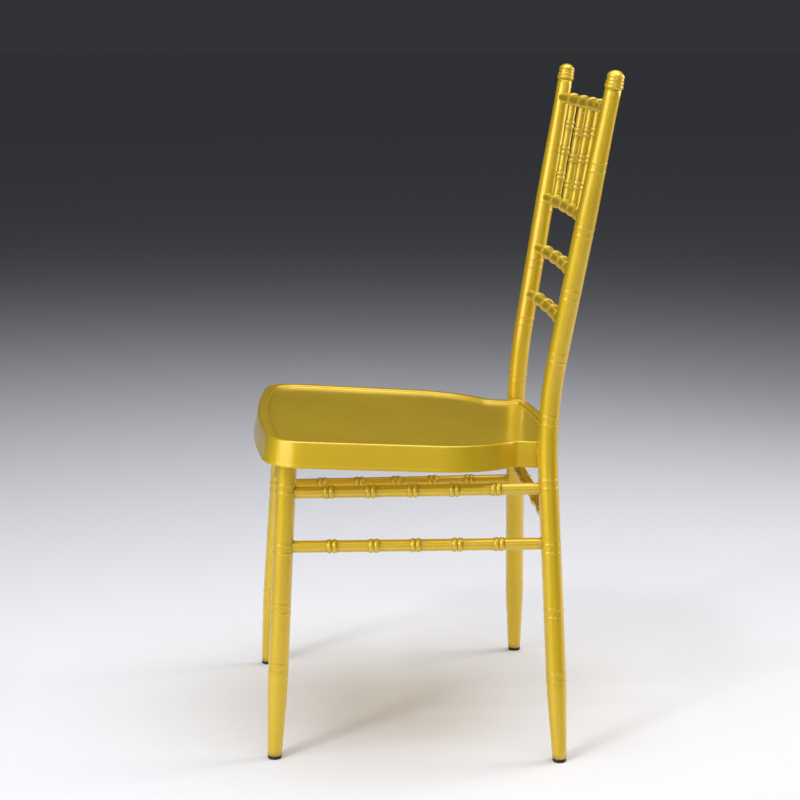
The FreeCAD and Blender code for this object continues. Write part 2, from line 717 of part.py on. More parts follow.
def tail_half_width():
    """Half width of the tail's rim that leaves the weld gap to the uprights at rim and skirt."""
    lean = math.hypot(left_path["lower"].x, left_path["lower"].z) / left_path["lower"].z
    reach = size("tube_diameter") / 2 * lean + size("weld_gap")
    at_rim = on_lower(left_path, height_on_pan(left_path["waist"].y, 0)).x - reach
    at_foot = on_lower(left_path, height_on_pan(left_path["waist"].y, size("skirt_depth"))).x - reach
    return min(at_rim, at_foot - size("skirt_flare"))


def pan_corners():
    """Corners of the rim's outline, each with its rounding, anticlockwise from the middle of the front."""
    tail_half = tail_half_width()
    left = [
        (size("seat_front_half"), size("seat_corner_y"), size("seat_corner_radius")),
        (size("shoulder_half"), size("shoulder_y"), size("shoulder_radius")),
        (tail_half, size("tail_start_y"), size("tail_start_radius")),
        (tail_half, size("tail_end_y"), size("tail_corner_radius")),
    ]
    right = [(-across, back, rounding) for across, back, rounding in reversed(left)]
    nose = (0.0, size("seat_nose_y"), size("seat_nose_radius"))
    back = (0.0, size("seat_back_y"), size("seat_back_radius"))
    return [nose] + left + [back] + right


def unit(start, end):
    return (end - start).normalize()


def outline_edges(offset, height):
    """The rim's outline moved out by an offset, as lines and arcs at one height."""
    corners = pan_corners()
    count = len(corners)
    points = [Vector(across, back, 0) for across, back, rounding in corners]
    lines = []
    for index in range(count):
        direction = unit(points[index], points[(index + 1) % count])
        outward = Vector(direction.y, -direction.x, 0)
        lines.append((points[index] + outward * offset, direction))
    arcs = []
    for index in range(count):
        (before, heading), (after, leaving) = lines[index - 1], lines[index]
        turn = heading.cross(leaving).z
        corner = before + heading * ((after - before).cross(leaving).z / turn)
        angle = math.asin(turn)
        if heading.dot(leaving) < 0:
            angle = math.copysign(math.pi, turn) - angle
        radius = corners[index][2] + offset * math.copysign(1, turn)
        run = radius * math.tan(abs(angle) / 2)
        towards = (leaving - heading).normalize()
        middle = corner + towards * (radius / math.cos(angle / 2) - radius)
        arcs.append((corner - heading * run, middle, corner + leaving * run))
    lift = Vector(0, 0, height)
    edges = []
    for index in range(count):
        start, middle, end = arcs[index]
        edges.append(Part.Arc(start + lift, middle + lift, end + lift))
        edges.append(Part.LineSegment(end + lift, arcs[(index + 1) % count][0] + lift))
    return edges


def outline_sketch(body, name, offset, height):
    sketch = new_sketch(body, name, "XY_Plane")
    sketch.AttachmentOffset = Placement(Vector(0, 0, height), Rotation())
    sketch.addGeometry(outline_edges(offset, 0.0), False)
    return sketch


def pan_block(name, offset, height, length, draft, rounded_end, rounding):
    """A block drawn on the outline moved out by an offset, with one end's edges rounded."""
    body = doc.addObject("PartDesign::Body", name)
    pad = body.newObject("PartDesign::Pad", name + "_pad")
    pad.Profile = outline_sketch(body, name + "_outline", offset, height)
    pad.setExpression("Length", length)
    pad.setExpression("TaperAngle", draft)
    body.Tip = pad
    doc.recompute()
    level = height if rounded_end == "lower" else height + pad.Length.Value
    end_edges = [
        f"Edge{index}" for index, edge in enumerate(pad.Shape.Edges, 1)
        if max(abs(edge.BoundBox.ZMin - level), abs(edge.BoundBox.ZMax - level)) < edge_tolerance
    ]
    fillet = body.newObject("PartDesign::Fillet", name + "_round")
    fillet.Base = (pad, end_edges)
    fillet.setExpression("Radius", rounding)
    body.Tip = fillet
    body.Placement = seat_frame
    return body


wall = size("pan_wall")
depth = size("skirt_depth")
below_rim = size("recess_depth")
ledge = -size("rim_width")
flare_slope = size("skirt_flare") / depth
skirt_draft = "-atan(Sizes.skirt_flare / Sizes.skirt_depth)"
hollow_offset = size("skirt_flare") - wall + flare_slope * wall
outer = pan_block("pan_outer", size("skirt_flare"), -depth, "Sizes.skirt_depth", skirt_draft,
                  "upper", "Sizes.pan_edge_round")
hollow = pan_block("pan_hollow", hollow_offset, -depth - wall, "Sizes.skirt_depth", skirt_draft,
                   "upper", "Sizes.pan_edge_round - Sizes.pan_wall")
tray = pan_block("pan_tray", ledge + wall, -below_rim - wall, "Sizes.recess_depth", "0",
                 "lower", "Sizes.recess_round + Sizes.pan_wall")
recess = pan_block("pan_recess", ledge, -below_rim, "Sizes.recess_depth + Sizes.pan_wall", "0",
                   "lower", "Sizes.recess_round")
shell = cut("pan_shell", outer, hollow)
sharp_pan = cut("sharp_pan", fused("pan_with_tray", [shell, tray]), recess)
doc.recompute()
rim_line = Part.Wire([edge.toShape() for edge in outline_edges(ledge, 0.0)])
rim_line.Placement = seat_frame
seat_pan = doc.addObject("Part::Fillet", "seat_pan")
seat_pan.Base = sharp_pan
rim_round = size("rim_round")


def lies_on_rim(edge):
    """True where both ends and the middle of an edge are on the recess's upper outline."""
    first, last = edge.FirstParameter, edge.LastParameter
    return all(
        rim_line.distToShape(Part.Vertex(edge.valueAt(place)))[0] < edge_tolerance
        for place in (first, (first + last) / 2, last)
    )


seat_pan.Edges = [
    (index, rim_round, rim_round)
    for index, edge in enumerate(sharp_pan.Shape.Edges, 1)
    if lies_on_rim(edge)
]
node("seat_pan", seat_pan)

# Weld beads: two along each upright, in the grooves beside the line where the seat's skirt meets it.
weld_bars = []
for side, path in paths.items():
    sign = 1 if side == "left" else -1
    level = height_on_pan(path["waist"].y, size("skirt_depth") / 2)
    axis_point = on_lower(path, level) - path["lower"] * (size("weld_length") / 2)
    for turn in (-1, 1):
        angle = math.radians(size("weld_angle")) * turn
        offset = Vector(-sign * math.cos(angle), math.sin(angle), 0) * (size("tube_diameter") / 2)
        weld_bars.append(primitive("Cylinder", "weld_bar", along(axis_point + offset, path["lower"]),
                                   Radius="Sizes.weld_round", Height="Sizes.weld_length"))
weld_stock = fused("weld_stock", weld_bars)
weld_waste = fused("weld_waste", [upright_envelopes["left"], upright_envelopes["right"], outer])
node("seat_welds", cut("seat_welds", weld_stock, weld_waste))

doc.recompute()

for item in doc.Objects:
    if "Invalid" in item.State or "Error" in item.State:
        raise RuntimeError(f"{item.Label} did not compute: {item.State}")
for piece in nodes:
    if piece.Shape.isNull() or not piece.Shape.isValid() or not piece.Shape.Solids:
        raise RuntimeError(f"{piece.Label} has no valid solid")

os.makedirs("parts", exist_ok=True)
for piece in nodes:
    piece.Shape.exportStep(f"parts/{piece.Label}.step")
    print(f"{piece.Label:24s} solids {len(piece.Shape.Solids)} volume {piece.Shape.Volume:10.1f} mm3")
whole = Part.makeCompound([piece.Shape for piece in nodes]).optimalBoundingBox(True, False)
print(f"whole {whole.XLength:.2f} x {whole.YLength:.2f} x {whole.ZLength:.2f} mm")
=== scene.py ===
import math

import bpy
import numpy as np
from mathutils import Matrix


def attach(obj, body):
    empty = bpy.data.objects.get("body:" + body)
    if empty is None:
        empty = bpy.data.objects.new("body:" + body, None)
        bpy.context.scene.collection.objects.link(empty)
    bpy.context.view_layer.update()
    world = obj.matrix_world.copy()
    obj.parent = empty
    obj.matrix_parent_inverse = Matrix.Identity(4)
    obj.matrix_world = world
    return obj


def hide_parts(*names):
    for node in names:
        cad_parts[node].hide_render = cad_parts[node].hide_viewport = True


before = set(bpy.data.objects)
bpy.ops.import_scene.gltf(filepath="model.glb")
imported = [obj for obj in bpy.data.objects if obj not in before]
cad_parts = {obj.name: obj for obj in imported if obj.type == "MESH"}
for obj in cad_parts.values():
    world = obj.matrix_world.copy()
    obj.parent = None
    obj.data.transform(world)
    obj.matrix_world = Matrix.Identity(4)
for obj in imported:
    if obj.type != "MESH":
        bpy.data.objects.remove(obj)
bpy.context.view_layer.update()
mm = 0.001

# Rear uprights. Each is one steel tube, bent once behind the seat, with its foot and its top drawn in
# narrower and pairs of shallow rings rolled into it, so that it looks like a bamboo cane. The frame was
# welded together first and then sprayed with gold lacquer.
tube_radius = 13.5 * mm
tube_wall = 1.2 * mm
tube_lines = 60
rear_foot = np.array([236.5, 163.5, 0]) * mm
waist = np.array([155, 150.1, 460]) * mm
post_top = np.array([198.4, 224.7, 893.5]) * mm
bend_radius = 480 * mm
foot_radius = 9.3 * mm
foot_taper = 100 * mm
tube_row_step = 9 * mm
bore_row_share = 8
ring_row_count = 15
ring_row_reach = 1.8
post_top_radius = 10.8 * mm
post_taper_from = 168.5 * mm
post_taper_to = 38.5 * mm
ring_proud = 0.3 * mm
ring_half = 2.6 * mm
ring_spacing = 11 * mm
# The feet of each ring get a crease value, which the lacquer paints darker as shade.
ring_crease = 0.1
ring_crease_width = 0.35
upright_ring_places = (113.5 + 86.5 * np.arange(9)) * mm
glide_height = 5 * mm
floor_up = np.array([0, 0, 1.0])
flip = np.array([-1, 1, 1])
pair = np.array([-0.5, 0.5])


def unit(vector):
    """The vector divided by its own length."""
    return vector / np.linalg.norm(vector)


lower_run = unit(waist - rear_foot)
upper_run = unit(post_top - waist)
bend_turn = math.acos(lower_run @ upper_run)
bend_aside = unit(upper_run - lower_run * (lower_run @ upper_run))
bend_flat = np.cross(lower_run, bend_aside)
bend_cut = bend_radius * math.tan(bend_turn / 2)
lower_length = np.linalg.norm(waist - rear_foot) - bend_cut
upper_length = np.linalg.norm(post_top - waist) - bend_cut
upright_length = lower_length + bend_radius * bend_turn + upper_length


def upright_axis(distance):
    """Point, heading and sideways direction at a distance up the left upright's axis: a straight run, then
    an arc whose sine and cosine carry the heading from the lower run to the upper, then a straight run."""
    turned = np.clip((distance - lower_length) / bend_radius, 0, bend_turn)[..., None]
    below = np.minimum(distance, lower_length)[..., None]
    above = np.maximum(distance - lower_length - bend_radius * bend_turn, 0)[..., None]
    arc = bend_radius * (np.sin(turned) * lower_run + (1 - np.cos(turned)) * bend_aside)
    point = rear_foot + lower_run * below + arc + upper_run * above
    heading = np.cos(turned) * lower_run + np.sin(turned) * bend_aside
    return point, heading, np.broadcast_to(bend_flat, point.shape)


def eased_step(share, ease=0.05):
    """0 before share 0, 1 after share 1 and straight between, with both corners eased: half of one plus
    the difference of two square roots."""
    return (1 + np.sqrt(share ** 2 + ease ** 2) - np.sqrt((share - 1) ** 2 + ease ** 2)) / 2


def rolled_rings(distance, places):
    """Height of the ring pairs, a squared cosine across each ring, and a crease value that is greatest
    along both feet of a ring."""
    centres = (places[:, None] + pair * ring_spacing).ravel()
    across = np.abs(distance[..., None] - centres).min(-1) / ring_half
    height = ring_proud * np.cos(np.minimum(across, 1) * np.pi / 2) ** 2
    return height, ring_crease * np.exp(-((across - 1) / ring_crease_width) ** 2)


def upright_radius(distance):
    """Radius of the plain upright: widening over the foot's taper and narrowing towards the top."""
    foot = foot_radius + (tube_radius - foot_radius) * eased_step(distance / foot_taper)
    narrowing = (distance - upright_length + post_taper_from) / (post_taper_from - post_taper_to)
    return foot - (tube_radius - post_top_radius) * eased_step(narrowing)


def upright_outline(distance):
    """Radius of the ringed upright and its crease value."""
    height, crease = rolled_rings(distance, upright_ring_places)
    return upright_radius(distance) + height, crease


def round_rows(axis, distance, radius):
    """Rows of points round an axis: the axis point plus the radius times the cosine of the angle along the
    normal and its sine along the sideways direction."""
    angle = np.linspace(0, 2 * np.pi, distance.shape[1], endpoint=False)[:, None]
    point, heading, sideways = axis(distance)
    normal = np.cross(sideways, heading)
    return point + radius[..., None] * (np.cos(angle) * normal + np.sin(angle) * sideways)


def plane_ends(axis, radius, near, plane_point, plane_normal):
    """Distance along a tube, for each line of its surface, at which the line meets a plane: its height over
    the plane at a near distance, divided by the rate at which the heading climbs."""
    line = round_rows(axis, np.full((1, tube_lines), near), np.full((1, tube_lines), radius))[0]
    heading = axis(np.array([near]))[1][0]
    return near + (plane_point - line) @ plane_normal / (heading @ plane_normal)


def fitted_rows(marks, starts, ends, reach=15 * mm):
    """Distances for each row and line of a tube: a row keeps its mark, and within reach of an end it leans
    towards the distance at which each line of the surface ends."""
    from_start = np.clip(1 - (marks - marks[0]) / reach, 0, 1)[:, None]
    from_end = np.clip(1 - (marks[-1] - marks) / reach, 0, 1)[:, None]
    return marks[:, None] + from_start * (starts - marks[0]) + from_end * (ends - marks[-1])


def row_marks(first, last, step, centres, half, count):
    """Distances for the rows of a tube: even steps from first to last, and more of them within half of
    each ring or bead."""
    even = np.linspace(first, last, max(2, round((last - first) / step)))
    fine = (centres[:, None] + np.linspace(-half, half, count)).ravel()
    marks = np.unique(np.concatenate([even, fine]))
    inside = marks[(marks > first + mm) & (marks < last - mm)]
    return np.concatenate([[first], inside, [last]])


def tube_rows(axis, marks, starts, ends, outline, wall):
    """Rows up the outside of a tube and back down its bore, with their crease values. The outline function
    gives radius and crease at a distance, and the bore is that radius less the wall."""
    outside = fitted_rows(marks, starts, ends)
    radius, crease = outline(outside)
    bore_marks = np.linspace(marks[0], marks[-1], max(2, len(marks) // bore_row_share))
    bore = fitted_rows(bore_marks, starts, ends)[::-1]
    bore_radius = outline(bore)[0] - wall
    rows = np.concatenate([round_rows(axis, outside, radius), round_rows(axis, bore, bore_radius)])
    return rows, np.concatenate([crease, np.zeros(bore.shape)])


def mesh_piece(name, points, faces, crease):
    """A smooth object at the origin from points and four-cornered faces, with the crease value kept on each
    point. Points that fall together become one, and a face that loses a corner by it has three."""
    places, index = np.unique(np.round(points / (0.001 * mm)).astype(np.int64), axis=0, return_inverse=True)
    index = index.ravel()
    kept = np.zeros(len(places), int)
    kept[index] = np.arange(len(points))
    corners = index[faces]
    distinct = corners != np.roll(corners, -1, axis=1)
    distinct &= (distinct.sum(1) >= 3)[:, None]
    sizes = distinct.sum(1)
    sizes = sizes[sizes > 0]
    mesh = bpy.data.meshes.new(name)
    mesh.vertices.add(len(places))
    mesh.vertices.foreach_set("co", points[kept].astype(np.float32).ravel())
    mesh.loops.add(int(sizes.sum()))
    mesh.loops.foreach_set("vertex_index", corners[distinct].astype(np.int32))
    mesh.polygons.add(len(sizes))
    mesh.polygons.foreach_set("loop_start", (np.cumsum(sizes) - sizes).astype(np.int32))
    mesh.update(calc_edges=True)
    mesh.validate()
    mesh.shade_smooth()
    mesh.attributes.new("crease", "FLOAT", "POINT").data.foreach_set("value", crease[kept].astype(np.float32))
    piece = bpy.data.objects.new(name, mesh)
    bpy.context.scene.collection.objects.link(piece)
    return piece


def grid_faces(steps, lines, joined):
    """Four neighbours of a grid make a face. The last line joins the first, and where joined the last row
    joins the first as well."""
    i = np.arange(steps if joined else steps - 1)[:, None]
    j = np.arange(lines)[None, :]
    up, on = (i + 1) % steps, (j + 1) % lines
    return np.stack([i * lines + j, i * lines + on, up * lines + on, up * lines + j], -1).reshape(-1, 4)


def new_piece(name, rows, crease, joined):
    """A piece on a grid of rows and lines of points."""
    faces = grid_faces(rows.shape[0], rows.shape[1], joined)
    return mesh_piece(name, rows.reshape(-1, 3), faces, crease.ravel())


def mirrored(rows):
    """The same piece on the chair's right side: x changes sign, and the lines run the other way round so
    that the faces still point outwards."""
    return rows[:, ::-1] * flip


def linear(hex_colour):
    """An sRGB hex colour as linear red, green and blue, with full alpha."""
    srgb = np.array([int(hex_colour[i:i + 2], 16) for i in (1, 3, 5)]) / 255
    light = np.where(srgb <= 0.04045, srgb / 12.92, ((srgb + 0.055) / 1.055) ** 2.4)
    return (*light, 1.0)


def add(material, kind, inputs, **settings):
    """Adds a node with its settings. An input that is another node's output is linked, and any other
    value is written on the socket."""
    tree = material.node_tree
    made = tree.nodes.new(kind)
    for name, value in settings.items():
        setattr(made, name, value)
    for socket, value in inputs.items():
        if isinstance(value, bpy.types.NodeSocket):
            tree.links.new(value, made.inputs[socket])
        else:
            made.inputs[socket].default_value = value
    return made


# Gold lacquer: fine metal flake in a tinted clear coat, sprayed over steel. The flake gives a broad satin
# shine, the clear coat a whiter one over it. The spray leaves a faint orange peel and a slow drift of tone,
# and handling leaves a few small pale scuffs. Grooves and joints are painted browner as shade.
MIX_SHARE, MIX_FIRST, MIX_SECOND, MIX_RESULT = 0, 6, 7, 2
gold_bright = "#E2C01C"
gold_deep = "#DAB514"
gold_painted_shade = "#8F6F1E"
gold_scuffed = "#EBDDA0"
tone_drift_size = 140 * mm
orange_peel_size = 3 * mm
flake_size = 1.2 * mm
scuff_size = 7 * mm
painted_shade_most = 0.7
gold_lacquer = bpy.data.materials.new("gold_flake_lacquer_on_steel")
gold_lacquer.use_nodes = True
place = add(gold_lacquer, "ShaderNodeTexCoord", {}).outputs["Object"]
drift = add(gold_lacquer, "ShaderNodeTexNoise",
            {"Vector": place, "Scale": 1 / tone_drift_size, "Detail": 3.0})
# The real flakes are under 0.1 mm, too fine to show, so they are drawn as coarse as a pixel.
flake = add(gold_lacquer, "ShaderNodeTexNoise", {"Vector": place, "Scale": 1 / flake_size, "Detail": 2.0})
peel = add(gold_lacquer, "ShaderNodeTexNoise",
           {"Vector": place, "Scale": 1 / orange_peel_size, "Detail": 2.0})
scuff = add(gold_lacquer, "ShaderNodeTexNoise", {"Vector": place, "Scale": 1 / scuff_size, "Detail": 5.0})
crease_value = add(gold_lacquer, "ShaderNodeAttribute", {}, attribute_name="crease").outputs["Fac"]
drift_share = add(gold_lacquer, "ShaderNodeMapRange",
                  {"Value": drift.outputs["Fac"], "From Min": 0.3, "From Max": 0.7})
sprayed = add(gold_lacquer, "ShaderNodeMix",
              {MIX_SHARE: drift_share.outputs["Result"], MIX_FIRST: linear(gold_deep),
               MIX_SECOND: linear(gold_bright)}, data_type="RGBA")
sparkle = add(gold_lacquer, "ShaderNodeMapRange",
              {"Value": flake.outputs["Fac"], "From Min": 0.3, "From Max": 0.7,
               "To Min": 0.92, "To Max": 1.08})
flaked = add(gold_lacquer, "ShaderNodeMix",
             {MIX_SHARE: 1.0, MIX_FIRST: sprayed.outputs[MIX_RESULT], MIX_SECOND: sparkle.outputs["Result"]},
             data_type="RGBA", blend_type="MULTIPLY")
scuff_share = add(gold_lacquer, "ShaderNodeMapRange",
                  {"Value": scuff.outputs["Fac"], "From Min": 0.7, "From Max": 0.78, "To Max": 0.5})
scuffed = add(gold_lacquer, "ShaderNodeMix",
              {MIX_SHARE: scuff_share.outputs["Result"], MIX_FIRST: flaked.outputs[MIX_RESULT],
               MIX_SECOND: linear(gold_scuffed)}, data_type="RGBA")
# Painted shade: the crease value mixes the gold towards a dark brown in grooves, at ring and bead feet, at
# the welded ends of tubes, in the seat's recess and on the welds.
painted_shade_share = add(gold_lacquer, "ShaderNodeMath", {0: crease_value, 1: painted_shade_most}, operation="MULTIPLY")
crease_shaded = add(gold_lacquer, "ShaderNodeMix",
             {MIX_SHARE: painted_shade_share.outputs["Value"], MIX_FIRST: scuffed.outputs[MIX_RESULT],
              MIX_SECOND: linear(gold_painted_shade)}, data_type="RGBA")
satin = add(gold_lacquer, "ShaderNodeMapRange",
            {"Value": peel.outputs["Fac"], "From Min": 0.3, "From Max": 0.7, "To Min": 0.44, "To Max": 0.52})
peel_bump = add(gold_lacquer, "ShaderNodeBump",
                {"Height": peel.outputs["Fac"], "Strength": 0.1, "Distance": 0.1 * mm})
gold_shader = gold_lacquer.node_tree.nodes["Principled BSDF"]
gold_shader.inputs["Metallic"].default_value = 0.55
gold_shader.inputs["Coat Weight"].default_value = 0.9
gold_shader.inputs["Coat Roughness"].default_value = 0.18
gold_links = gold_lacquer.node_tree.links
gold_links.new(crease_shaded.outputs[MIX_RESULT], gold_shader.inputs["Base Color"])
gold_links.new(satin.outputs["Result"], gold_shader.inputs["Roughness"])
gold_links.new(peel_bump.outputs["Normal"], gold_shader.inputs["Normal"])


def fix(piece, material, slot, *nodes):
    """Gives a piece its material and sets it on the chair in place of its CAD nodes. The slot is not used."""
    piece.data.materials.append(material)
    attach(piece, "root")
    if nodes:
        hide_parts(*nodes)


upright_starts = plane_ends(upright_axis, foot_radius, 0.0, floor_up * glide_height, floor_up)
upright_ends = np.full(tube_lines, upright_length)
upright_ring_centres = (upright_ring_places[:, None] + pair * ring_spacing).ravel()
upright_marks = row_marks(upright_starts.mean(), upright_length, tube_row_step, upright_ring_centres,
                          ring_row_reach * ring_half, ring_row_count)
upright_rows, upright_crease = tube_rows(upright_axis, upright_marks, upright_starts, upright_ends,
                                         upright_outline, tube_wall)
fix(new_piece("left_upright_tube", upright_rows, upright_crease, True), gold_lacquer, "gold_paint",
    "left_upright")
fix(new_piece("right_upright_tube", mirrored(upright_rows), upright_crease[:, ::-1], True), gold_lacquer,
    "gold_paint", "right_upright")

# Front legs. Straight pieces of the same tube, drawn in at the foot, ringed like the uprights and welded
# by their heads to the underside of the seat pan. The right foot stands a little further forward.
front_foot = np.array([197.5, -218.9, 0]) * mm
right_foot_advance = np.array([0, -7.5, 0]) * mm
leg_head = np.array([168.5, -197.4, 410]) * mm
leg_ring_places = (125 + 81.5 * np.arange(4)) * mm
leg_weld_drop = 1.7 * mm
seat_height = 428.8 * mm
seat_tilt = math.radians(3.2)
pan_wall = 1.2 * mm
recess_depth = 4 * mm
seat_normal = np.array([0, math.sin(seat_tilt), math.cos(seat_tilt)])
seat_underside = floor_up * seat_height - seat_normal * (recess_depth + pan_wall)
sides = {"left": np.ones(3), "right": flip}
front_feet = {"left": front_foot, "right": front_foot * flip + right_foot_advance}
leg_runs = {side: unit(leg_head * sign - front_feet[side]) for side, sign in sides.items()}
upright_runs = {side: lower_run * sign for side, sign in sides.items()}
rear_feet = {side: rear_foot * sign for side, sign in sides.items()}


def straight_axis(start, heading):
    """A function that gives point, heading and sideways direction at a distance from start."""
    least = np.eye(3)[np.argmin(np.abs(heading))]
    sideways = unit(np.cross(heading, least))

    def axis(distance):
        point = start + distance[..., None] * heading
        return point, np.broadcast_to(heading, point.shape), np.broadcast_to(sideways, point.shape)

    return axis


def leg_outline(distance):
    """Radius of the ringed front leg and its crease value."""
    height, crease = rolled_rings(distance, leg_ring_places)
    return foot_radius + (tube_radius - foot_radius) * eased_step(distance / foot_taper) + height, crease


leg_ring_centres = (leg_ring_places[:, None] + pair * ring_spacing).ravel()
weld_loops = []
for side, sign in sides.items():
    axis = straight_axis(front_feet[side], leg_runs[side])
    starts = plane_ends(axis, foot_radius, 0.0, floor_up * glide_height, floor_up)
    ends = plane_ends(axis, tube_radius, leg_head[2], seat_underside, seat_normal)
    marks = row_marks(starts.mean(), ends.mean(), tube_row_step, leg_ring_centres,
                      ring_row_reach * ring_half, ring_row_count)
    rows, crease = tube_rows(axis, marks, starts, ends, leg_outline, tube_wall)
    fix(new_piece(f"{side}_front_leg_tube", rows, crease, True), gold_lacquer, "gold_paint",
        f"{side}_front_leg")
    weld_loops.append((rows[len(marks) - 1] - seat_normal * leg_weld_drop, sign * np.array([1, -1, 0])))

# Stretchers. Thinner beaded tubes between the legs, two on each side and one across the front and the
# back, their ends cut to the round of the legs and welded there.
stretcher_radius = 8 * mm
stretcher_wall = 1.2 * mm
bead_proud = 1.6 * mm
bead_half = 3.5 * mm
bead_spacing = 7.2 * mm
stretcher_bead_pairs = 5
side_bead_pitch = 56 * mm
cross_bead_pitch = 58 * mm
side_heights = {"lower": 289 * mm, "upper": 362 * mm}
side_bead_shifts = {"lower": -2.5 * mm, "upper": -7 * mm}
cross_height = 318 * mm
end_ease = 1.3 * mm
end_draw = 0.5 * end_ease
bead_crease_width = 0.5 * mm
bead_row_step = 8 * mm
bead_row_count = 21
bead_row_reach = 1.15
bead_bore_rows = 12
meeting_search = 30 * mm
halvings = 40


def bead_arc(across, proud, half):
    """Height of a round bead above a bar: a circle through both feet of the bead, half its width away, and
    through its crest one proud above them."""
    circle = (proud ** 2 + half ** 2) / (2 * proud)
    return np.sqrt(np.maximum(circle ** 2 - across ** 2, 0)) - circle + proud


def beaded(distance, centres, proud, half, fillet=0.25 * mm):
    """Height of beads on a bar, the smooth greater of the bar and the nearest bead's arc, and a crease
    value that is 1 where the two meet."""
    away = np.abs(distance[..., None] - centres)
    across = away.min(-1)
    near_proud = np.broadcast_to(proud, centres.shape)[away.argmin(-1)]
    arc = bead_arc(across, near_proud, half)
    height = (arc + np.sqrt(arc ** 2 + fillet ** 2)) / 2
    return height, np.exp(-((across - half) / bead_crease_width) ** 2)


def leg_meeting(axis, radius, inside, outside, leg_point, leg_heading, leg_radius):
    """Distance along a tube, for each line of its surface, at which the line comes out of a round leg:
    the span between a distance inside the leg and one outside it is halved until it closes."""
    inner = np.full((1, tube_lines), inside)
    outer = np.full((1, tube_lines), outside)
    for _ in range(halvings):
        middle = (inner + outer) / 2
        offset = round_rows(axis, middle, np.full(middle.shape, radius)) - leg_point
        away = np.linalg.norm(offset - (offset @ leg_heading)[..., None] * leg_heading, axis=-1)
        inner = np.where(away < leg_radius, middle, inner)
        outer = np.where(away < leg_radius, outer, middle)
    return outer[0]


def bead_centres(length, pitch, pairs, spacing):
    """Places of the beads: pairs at an even pitch about the middle of the length."""
    middles = length / 2 + pitch * (np.arange(pairs) - (pairs - 1) / 2)
    return (middles[:, None] + pair * spacing).ravel()


def beaded_tube(node, axis, starts, ends, centres, radius, wall, proud, half):
    """A beaded tube between two sets of ends, with its last edge eased in at each weld. Gives the outlines
    of both ends."""
    near_end = np.array([0.5, 1, 2]) * mm
    marks = row_marks(starts.mean(), ends.mean(), bead_row_step, centres, bead_row_reach * half,
                      bead_row_count)
    marks = np.unique(np.concatenate([marks, marks[0] + near_end, marks[-1] - near_end]))
    outside = fitted_rows(marks, starts, ends)
    to_end = np.exp(-np.minimum(marks - marks[0], marks[-1] - marks) / end_ease)[:, None]
    height, crease = beaded(outside, centres, proud, half)
    bore = fitted_rows(np.linspace(marks[0], marks[-1], bead_bore_rows), starts, ends)[::-1]
    rows = np.concatenate([round_rows(axis, outside, radius + height - end_draw * to_end),
                           round_rows(axis, bore, np.full(bore.shape, radius - wall))])
    # Bead feet and the last edge at each weld carry the crease value, painted shade at the joints.
    creases = np.concatenate([np.maximum(crease, to_end), np.zeros(bore.shape)])
    fix(new_piece(node + "_tube", rows, creases, True), gold_lacquer, "gold_paint", node)
    return rows[0], rows[len(marks) - 1]


def on_run(foot, heading, height):
    """Where a leaning leg's axis reaches a height."""
    return foot + heading * (height / heading[2])


def stretcher(node, start_foot, start_run, end_foot, end_run, height, pitch, shift, unwelded):
    """A beaded tube between two legs at one height, its beads shifted from the middle. Its ends' outlines
    are kept for welding, each with the direction whose side stays free of weld."""
    start = on_run(start_foot, start_run, height)
    end = on_run(end_foot, end_run, height)
    length = np.linalg.norm(end - start)
    axis = straight_axis(start, unit(end - start))
    starts = leg_meeting(axis, stretcher_radius, 0, meeting_search, start, start_run, tube_radius)
    ends = leg_meeting(axis, stretcher_radius, length, length - meeting_search, end, end_run, tube_radius)
    centres = bead_centres(length, pitch, stretcher_bead_pairs, bead_spacing) + shift
    loops = beaded_tube(node, axis, starts, ends, centres, stretcher_radius, stretcher_wall,
                        bead_proud, bead_half)
    weld_loops.extend((loop, unwelded) for loop in loops)


for side, sign in sides.items():
    for level, height in side_heights.items():
        stretcher(f"{side}_{level}_stretcher", front_feet[side], leg_runs[side], rear_feet[side],
                  upright_runs[side], height, side_bead_pitch, side_bead_shifts[level],
                  sign * np.array([1, 0, 0]))
stretcher("front_stretcher", front_feet["right"], leg_runs["right"], front_feet["left"], leg_runs["left"],
          cross_height, cross_bead_pitch, 0, -np.array([0, 1, 0]))
stretcher("rear_stretcher", rear_feet["right"], upright_runs["right"], rear_feet["left"],
          upright_runs["left"], cross_height, cross_bead_pitch, 0, np.array([0, 1, 0]))

# Back rails. Four beaded tubes between the uprights, bowed squarely out of the leaning plane of the back
# and welded to the uprights' inner sides.
rail_bow = 11.85 * mm
rail_bead_proud = 1.9 * mm
rail_bead_pairs = 5
rail_heights = {"top_rail": 867 * mm, "spindle_rail": 721.5 * mm,
                "upper_mid_rail": 647.5 * mm, "lower_mid_rail": 579 * mm}
across_chair = np.array([1.0, 0, 0])
back_rise = unit(upper_run * np.array([0, 1, 1]))
back_normal = np.cross(back_rise, across_chair)


def rail_circle(end):
    """Radius and centre of the arc through both ends and a point one bow behind their middle: the radius is
    the half span squared plus the bow squared, over twice the bow."""
    radius = (end[0] ** 2 + rail_bow ** 2) / (2 * rail_bow)
    return radius, end * np.array([0, 1, 1]) + back_normal * (rail_bow - radius)


def bowed_axis(end):
    """A function that gives point, heading and sideways direction at a distance from the rail's right end,
    by the sine and cosine of the angle turned, and the length of the rail."""
    radius, centre = rail_circle(end)
    half_turn = math.asin(end[0] / radius)

    def axis(distance):
        turned = (distance / radius - half_turn)[..., None]
        outward = np.sin(turned) * across_chair + np.cos(turned) * back_normal
        heading = np.cos(turned) * across_chair - np.sin(turned) * back_normal
        return centre + radius * outward, heading, np.broadcast_to(back_rise, heading.shape)

    return axis, 2 * half_turn * radius


